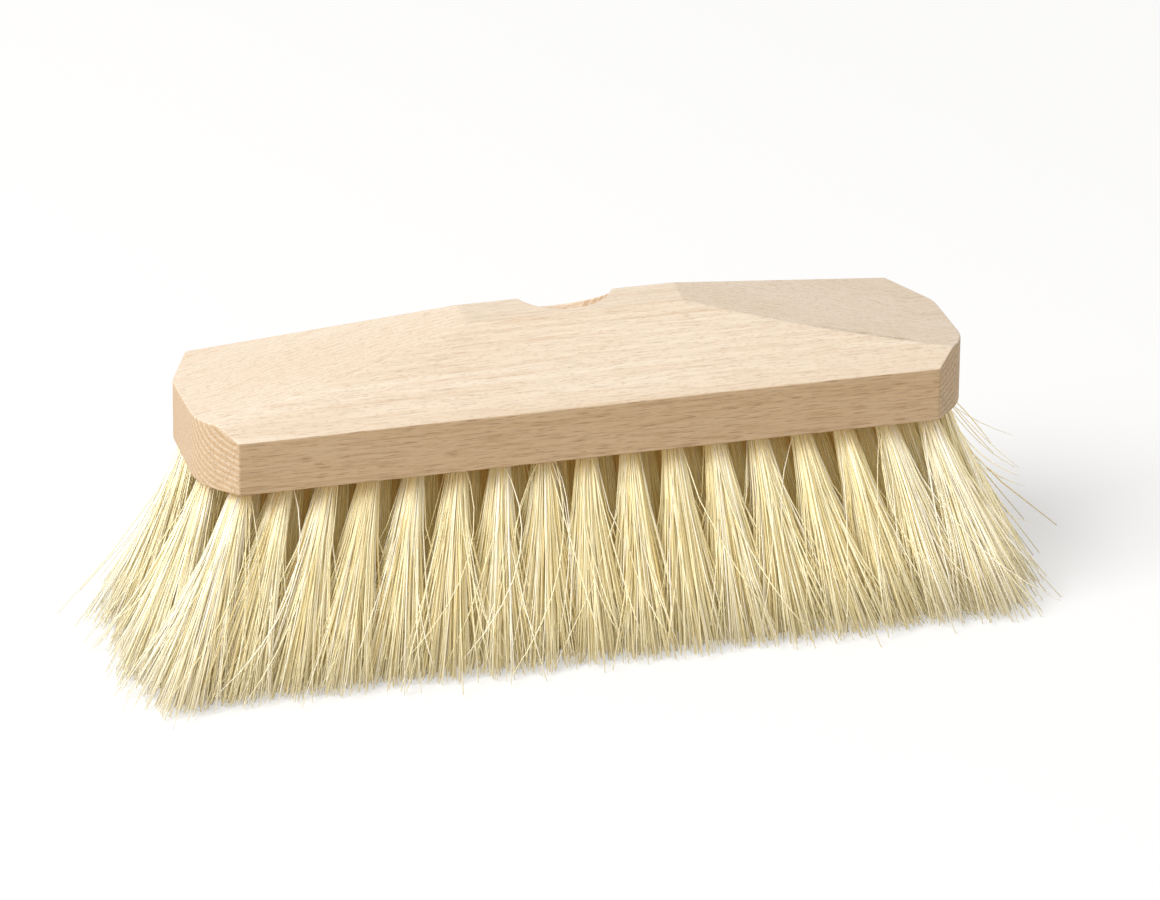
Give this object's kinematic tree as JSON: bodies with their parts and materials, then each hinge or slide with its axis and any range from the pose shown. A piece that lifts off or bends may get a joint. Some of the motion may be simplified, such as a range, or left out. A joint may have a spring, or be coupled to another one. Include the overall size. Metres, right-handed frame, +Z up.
{
  "type": "tar brush head",
  "caption": "Tar brush head: saddle-shaped beech block with a leaning handle socket and staggered rows of stapled, flared fibre tufts.",
  "frame": {"origin": "floor point under the middle of the brush, on the plane of the fibre tips", "axes": "+X along the block, +Y from the front side to the side the handle leans to, +Z up through the block"},
  "size_m": [0.2898, 0.0862, 0.1037],
  "materials": {
    "beech": "raw sanded beech",
    "fibre": "pale plant fibre",
    "wire": "drawn wire"
  },
  "bodies": {
    "root": {"block": "beech", "front_bristles": "fibre", "middle_bristles": "fibre", "back_bristles": "fibre", "staple_row1_1": "wire", "staple_row1_2": "wire", "staple_row1_3": "wire", "staple_row1_4": "wire", "staple_row1_5": "wire", "staple_row1_6": "wire", "staple_row1_7": "wire", "staple_row1_8": "wire", "staple_row1_9": "wire", "staple_row1_10": "wire", "staple_row1_11": "wire", "staple_row1_12": "wire", "staple_row1_13": "wire", "staple_row1_14": "wire", "staple_row1_15": "wire", "staple_row1_16": "wire", "staple_row1_17": "wire", "staple_row3_1": "wire", "staple_row3_2": "wire", "staple_row3_3": "wire", "staple_row3_4": "wire", "staple_row3_5": "wire", "staple_row3_6": "wire", "staple_row3_7": "wire", "staple_row3_8": "wire", "staple_row3_9": "wire", "staple_row3_10": "wire", "staple_row3_11": "wire", "staple_row3_12": "wire", "staple_row3_13": "wire", "staple_row3_14": "wire", "staple_row3_15": "wire", "staple_row3_16": "wire", "staple_row3_17": "wire", "staple_row5_1": "wire", "staple_row5_2": "wire", "staple_row5_3": "wire", "staple_row5_4": "wire", "staple_row5_5": "wire", "staple_row5_6": "wire", "staple_row5_7": "wire", "staple_row5_8": "wire", "staple_row5_9": "wire", "staple_row5_10": "wire", "staple_row5_11": "wire", "staple_row5_12": "wire", "staple_row5_13": "wire", "staple_row5_14": "wire", "staple_row5_15": "wire", "staple_row5_16": "wire", "staple_row5_17": "wire"}
  },
  "joints": []
}
